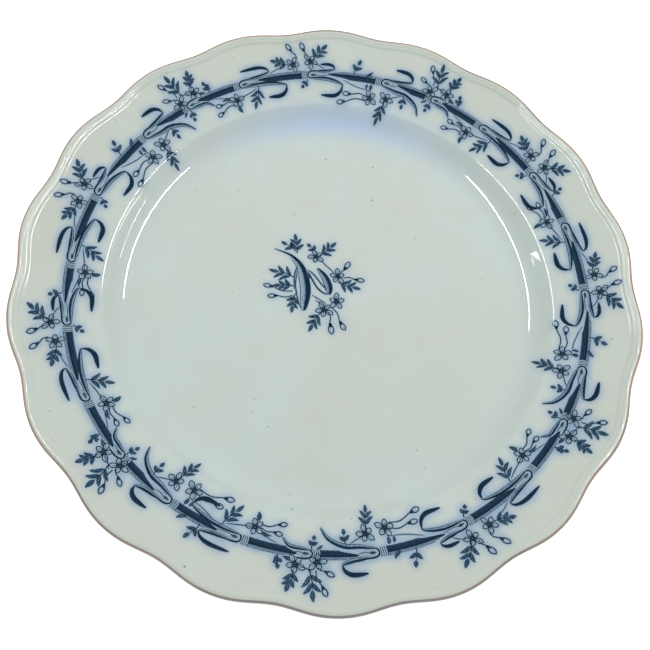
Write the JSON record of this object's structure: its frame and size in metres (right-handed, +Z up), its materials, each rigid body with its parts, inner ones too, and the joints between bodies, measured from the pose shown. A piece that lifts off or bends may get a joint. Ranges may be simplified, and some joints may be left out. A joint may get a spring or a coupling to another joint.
{
  "type": "dinner plate",
  "caption": "Round china dinner plate with a scalloped, moulded lip, a sloping printed rim, a flat well with a centre sprig, and an unglazed foot ring.",
  "frame": {"origin": "centre of the foot ring, in the plane that it rests on", "axes": "+Z up along the plate's axis, out of the well; +X towards a crest of the scalloped lip"},
  "size_m": [0.2624, 0.2594, 0.0263],
  "materials": {
    "clay": "unglazed, fired",
    "glaze": "clear gloss glaze over off-white earthenware",
    "cobalt_print": "cobalt print bled into a gloss glaze",
    "edge_enamel": "thin worn tan enamel"
  },
  "bodies": {
    "root": {"clay_body": "clay", "glaze_coat": "glaze", "base_glaze": "glaze", "edge_line": "edge_enamel", "centre_transfer": "cobalt_print", "border_transfer_1": "cobalt_print", "border_transfer_2": "cobalt_print", "border_transfer_3": "cobalt_print"}
  },
  "joints": []
}
